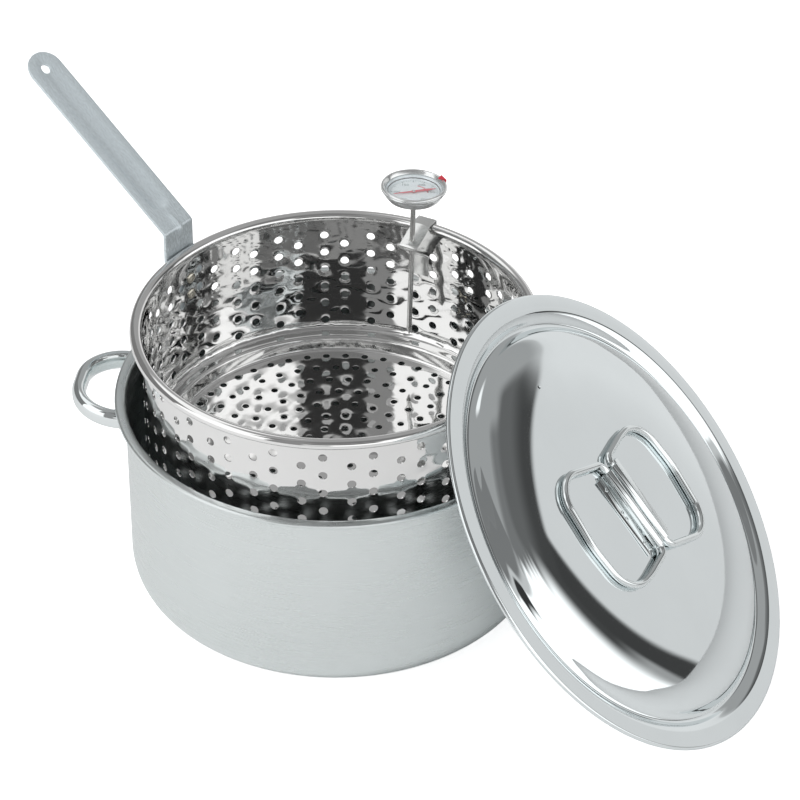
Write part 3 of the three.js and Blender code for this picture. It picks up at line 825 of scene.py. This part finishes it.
def build_gauge():
    g = GAUGE
    low = g["case"]
    stem = [(0, 0), (0.3, 0.5), (0.8, 1.8), (1.4, 4.2), (2.1, 5.2), (2.1, 5.6), (1.6, 5.9), (1.6, 6.3),
            (g["stem"], 6.7), (g["stem"], g["high"]), (0, g["high"])]
    obj = revolve("gauge_stem", stem, STEM_STEEL, 32, GAUGE_PLACE)
    stand_for(obj, "thermometer", "satin_steel", "thermometer_stem", "thermometer_stem_tip")
    bowl = [(g["stem"] + 0.05, low), (17.2, low), (18.2, low + 0.3), (18.8, low + 1.0), (21.2, low + 4.6),
            (21.4, low + 5.2), (21.4, low + 6.6), (20.6, low + 6.6), (20.6, low + 5.6), (17.9, low + 1),
            (g["stem"] + 0.05, low + 1)]
    obj = revolve("gauge_case", bowl, CASE_STEEL, 96, GAUGE_PLACE)
    stand_for(obj, "thermometer", "satin_steel", "thermometer_case")
    foot = low + 6.5
    rim = [(19.6, foot + 0.3), (21.6, foot), (22.5, foot + 0.3), (22.8, foot + 0.7), (22.55, foot + 0.95)]
    rim += [(22.8, foot + 1.25), (22.55, foot + 1.55), (22.8, foot + 1.9), (22.75, foot + 2.6)]
    rim += [(22.45, foot + 3.05), (21.9, foot + 3.3), (21.3, foot + 3.3), (20.9, foot + 3.0)]
    rim += [(19.5, foot + 0.8)]
    obj = revolve("gauge_bezel", rim, CASE_STEEL, 128, GAUGE_PLACE)
    stand_for(obj, "thermometer", "polished_steel", "thermometer_bezel")
    face = [(1.2, low + 3), (g["dial"], low + 3), (g["dial"], low + 3.6), (1.2, low + 3.6)]
    well = [(18.9, low + 6.65), (19.5, low + 6.65), (18.1, low + 3.62), (17.5, low + 3.62)]
    obj = revolve("gauge_dial", face, DIAL_WHITE, 96, GAUGE_PLACE)
    stand_for(obj, "thermometer", "dial_face", "thermometer_dial")
    obj = revolve("gauge_well", well, WELL_WHITE, 96, GAUGE_PLACE)
    stand_for(obj, "thermometer", "polished_steel")
    lens = [(0, low + 6.7), (19.3, low + 6.7), (19.45, low + 6.8), (19.45, low + 7.1), (19.3, low + 7.2),
            (0, low + 7.2)]
    obj = revolve("gauge_lens", lens, GLASS, 96, GAUGE_PLACE)
    stand_for(obj, "thermometer", "glass", "thermometer_lens")
    build_dial_print(low + 3.62)
    build_needle(low + 4.4)


def build_dial_print(height):
    """Scale ticks, generic numbers and one red band, as thin raised print."""
    s, thick = DIAL, 0.05
    place = GAUGE_PLACE @ Matrix.Rotation(math.radians(-CLIP["bearing"]), 4, "Z")

    def bars(name, items, material):
        points, faces = [], []
        for corners in items:
            start, count = len(points), len(corners)
            points.extend([(x, y, height + dz) for dz in (0, thick) for x, y in corners])
            faces.append(tuple(start + i for i in reversed(range(count))))
            faces.append(tuple(start + count + i for i in range(count)))
            faces.extend([(start + i, start + (i + 1) % count, start + count + (i + 1) % count,
                           start + count + i) for i in range(count)])
        obj = make(name, points, faces, material, place)
        return stand_for(obj, "thermometer", "red_paint" if material is PRINT_RED else "dial_face")

    ticks = []
    for i in range(s["ticks"] + 1):
        a = math.radians(s["start"] - i * s["sweep"] / s["ticks"])
        inner, half = (s["short_tick"], 0.1) if i % 5 else (s["long_tick"], 0.2)
        outer = s["tick_out"]
        u, v = Vector((math.cos(a), math.sin(a))), Vector((-math.sin(a), math.cos(a)))
        ticks.append([tuple(u * inner - v * half), tuple(u * outer - v * half), tuple(u * outer + v * half),
                      tuple(u * inner + v * half)])
    bars("dial_ticks", ticks, PRINT_DARK)
    band, (low, high) = [], s["band"]
    for i in range(s["band_cells"]):
        a, b = (math.radians(s["band_start"] - i * s["band_step"] - k) for k in (0, s["band_step"]))
        band.append([(r * math.cos(t), r * math.sin(t))
                     for r, t in ((low, b), (high, b), (high, a), (low, a))])
    bars("dial_red_band", band, PRINT_RED)
    for i in range(6):
        a = math.radians(s["start"] - i * s["sweep"] / 5)
        text = bpy.data.curves.new(f"dial_number_{i}", "FONT")
        text.body = str(s["step"] * (i + 1))
        text.size = s["number_size"] * MM
        text.extrude = 0.02 * MM
        text.align_x, text.align_y = "CENTER", "CENTER"
        label = bpy.data.objects.new(f"dial_number_{i}", text)
        bpy.context.scene.collection.objects.link(label)
        text.materials.append(PRINT_DARK)
        at = Vector((s["numbers"] * math.cos(a), s["numbers"] * math.sin(a), height + 0.03)) * MM
        label.matrix_world = place @ Matrix.Translation(at)
        stand_for(label, "thermometer", "dial_face")


def build_needle(height):
    """The pointer, ridged along its middle, and the hub that covers the spindle's end."""
    g = GAUGE
    edge = [(-14.5, 0.18), (-1.6, 0.75), (-1.1, 1.3), (0, 1.7), (1.1, 1.3), (2.2, 1.0), (10, 1.3)]
    outline = [(x, -y) for x, y in edge] + [(g["needle"] - 0.1, 0)] + edge[::-1]
    count = len(outline)
    points = [(x, y, height + dz + (0.12 if abs(y) < 0.4 and abs(x) > 9 else 0))
              for dz in (0, 0.35) for x, y in outline]
    faces = [tuple(reversed(range(count))), tuple(range(count, 2 * count))]
    faces += [(i, (i + 1) % count, (i + 1) % count + count, i + count) for i in range(count)]
    place = GAUGE_PLACE @ Matrix.Rotation(math.radians(g["needle_bearing"] - CLIP["bearing"]), 4, "Z")
    obj = make("gauge_needle", points, faces, RED, place)
    stand_for(obj, "needle", "red_paint", "thermometer_needle")
    hub = [(0, height + 0.9), (0.7, height + 0.85), (1.15, height + 0.55), (1.2, height + 0.3),
           (0, height + 0.3)]
    obj = revolve("needle_hub", hub, STEM_STEEL, 32, GAUGE_PLACE)
    stand_for(obj, "needle", "satin_steel")


def build_marker():
    """The red folded tab that hooks over the bezel, its point over the scale."""
    g = GAUGE
    top = g["case"] + 10.2
    outside = g["bezel"] + 0.5
    line = rounded([(outside, top - 4.4), (outside, top, 0.6), (g["bezel"] - 3.8, top)], 5)
    outline = strip(line, 0.55)
    points, faces = [], []
    rows = 9
    for j in range(rows):
        t = -1 + 2 * j / (rows - 1)
        for x, z in outline:
            width = 3.3 * min(1, max(0.04, (x - g["bezel"] + 4.4) / 4.6))
            points.append((x, t * width, z))
    count = len(outline)
    for j in range(rows - 1):
        for i in range(count):
            k = (i + 1) % count
            faces.append((j * count + i, j * count + k, (j + 1) * count + k, (j + 1) * count + i))
    faces += [tuple(range(count)), tuple(range((rows - 1) * count, rows * count))]
    place = GAUGE_PLACE @ Matrix.Rotation(math.radians(g["marker_bearing"] - CLIP["bearing"]), 4, "Z")
    obj = make("set_marker_tab", points, faces, RED, place)
    stand_for(obj, "set_marker", "red_paint", "thermometer_set_marker")


def dress_cad_nodes():
    """The small inner pieces keep their CAD shape and take a finish."""
    finishes = {
        "thermometer_spindle_bush": STEM_STEEL, "thermometer_bimetal_coil": CLIP_STEEL,
        "thermometer_calibration_nut": CASE_STEEL, "thermometer_gasket": RUBBER,
        "thermometer_spindle": STEM_STEEL,
    }
    for node, material in finishes.items():
        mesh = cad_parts[node].data
        mesh.materials.clear()
        mesh.materials.append(material)


# ---------------------------------------------------------------- room
FLOOR = dict(half=9000, glow=0.75)
CAMERA = dict(place=(0, -2.0571365, 1.6349793), turn=(53.972, 0, -1.2094), lens=167.596, sensor=36)
LAMP = dict(place=(-1.1, -0.7, 1.7), aim=(1.1, 0.7, -1.6), size=1.2, energy=21)
BASE_LIGHT = 0.38
BACKDROP = 1.0


def build_floor():
    """A pale floor that glows for the camera only, so that it stays out of the steel."""
    paper = Nodes("pale_floor")
    paper.link(paper.spread(paper.noise(paper.coordinates(), 40), 0.8, 0.95), "Roughness")
    paper.set(Base_Color=(0.9, 0.9, 0.9, 1), Specular_IOR_Level=0.0, Emission_Color=(1, 1, 1, 1))
    seen = paper.add("ShaderNodeLightPath").outputs["Is Camera Ray"]
    paper.link(paper.math("MULTIPLY", seen, FLOOR["glow"]), "Emission Strength")
    h = FLOOR["half"]
    make("studio_floor", [(-h, -h, 0), (h, -h, 0), (h, h, 0), (-h, h, 0)], [(0, 1, 2, 3)],
                  paper.material, outward=False)


def build_camera_and_lamp():
    camera = bpy.data.objects.new("camera", bpy.data.cameras.new("camera"))
    bpy.context.scene.collection.objects.link(camera)
    camera.location = CAMERA["place"]
    camera.rotation_euler = Euler([math.radians(t) for t in CAMERA["turn"]])
    camera.data.lens = CAMERA["lens"]
    camera.data.sensor_width = CAMERA["sensor"]
    camera.data.clip_end = 100
    bpy.context.scene.camera = camera
    lamp = bpy.data.objects.new("overhead_lamp", bpy.data.lights.new("overhead_lamp", "AREA"))
    bpy.context.scene.collection.objects.link(lamp)
    lamp.location = LAMP["place"]
    lamp.rotation_euler = Vector(LAMP["aim"]).to_track_quat("-Z", "Y").to_euler()
    lamp.data.size = LAMP["size"]
    lamp.data.energy = LAMP["energy"]
    lamp.visible_glossy = False
    lamp.visible_camera = False
    bpy.context.scene.view_settings.view_transform = "Standard"


# Soft boxes and dark cards: bearings and elevations in degrees, brightness, softness of the edges.
STUDIO = [
    (-130, -8, 62, 91, 0.22, 4), (-116, -10, 44, 64, 0.21, 2),
    (-12, 30, 24, 46, 0.20, 4), (6, 40, 14, 36, 0.14, 4), (8, 37, 8, 23, 0.065, 3),
    (21.3, 100, -30, 17.3, 0.72, 0.8), (36, 100, -30, 17.3, 0.82, 5),
    (-94, 12, -30, 23, 1.35, 3), (-66, 7, 20, 28, 1.35, 2), (-66, 3, 26, 31, 1.35, 2),
    (-66, -2, 30, 34, 1.35, 2), (-64, -8, 33, 38, 1.35, 2), (-112, -20, 37, 43, 0.62, 2),
    (16.5, 21.3, -30, 17.3, 0.055, 0.8),
    (-180, -140, -30, 62, 1.25, 3), (-146, -126, -30, 41, 1.25, 2), (-141, -126, 40, 62, 0.22, 3),
    (-126, -107, -30, 62, 0.30, 2), (-107, -94, -30, 26, 0.75, 2), (-107, -68, 26, 38.5, 0.04, 1.5),
    (96, 150, 41, 62, 1.10, 3), (150, 180, 40, 62, 1.10, 3), (105, 180, -30, 41, 0.22, 2),
]


def build_studio_light():
    """A world of soft boxes and dark cards by direction, and a plain bright backdrop for the camera."""
    world = bpy.data.worlds.new("studio")
    bpy.context.scene.world = world
    world.use_nodes = True
    n = Nodes("", world.node_tree)
    part = n.add("ShaderNodeSeparateXYZ", {0: n.add("ShaderNodeTexCoord").outputs["Generated"]}).outputs
    bearing = n.math("DEGREES", n.math("ARCTAN2", part[1], part[0]))
    height = n.math("DEGREES", n.math("ARCSINE", part[2]))

    def edge(value, at, soft, rising):
        low, high = (0, 1) if rising else (1, 0)
        inputs = {"Value": value, "From Min": at - soft, "From Max": at + soft, "To Min": low,
                  "To Max": high}
        return n.add("ShaderNodeMapRange", inputs, interpolation_type="SMOOTHSTEP").outputs["Result"]

    light = BASE_LIGHT
    for left, right, low, high, brightness, soft in STUDIO:
        inside = n.math("MULTIPLY", edge(height, low, soft, True), edge(height, high, soft, False))
        if left > -180:
            inside = n.math("MULTIPLY", inside, edge(bearing, left, soft, True))
        if right < 180:
            inside = n.math("MULTIPLY", inside, edge(bearing, right, soft, False))
        light = n.add("ShaderNodeMix", {"Factor": inside, "A": light, "B": brightness}).outputs[0]
    seen = n.add("ShaderNodeLightPath").outputs["Is Camera Ray"]
    light = n.add("ShaderNodeMix", {"Factor": seen, "A": light, "B": BACKDROP}).outputs[0]
    background = world.node_tree.nodes["Background"]
    background.inputs["Color"].default_value = (1, 1, 1, 1)
    world.node_tree.links.new(light, background.inputs["Strength"])


build_floor()
build_camera_and_lamp()
build_studio_light()
build_pot()
build_side_handle("side_handle_left", SIDE_HANDLE["bearing"])
build_side_handle("side_handle_right", SIDE_HANDLE["bearing"] - 180)
build_basket()
build_strap()
for i, rivet_height in enumerate(RIVET["heights"], 1):
    build_rivet(i, rivet_height)
build_lid()
build_bracket()
build_spot_welds()
build_bail("lid_bail_left", -1)
build_bail("lid_bail_right", 1)
build_clip()
build_gauge()
build_marker()
dress_cad_nodes()
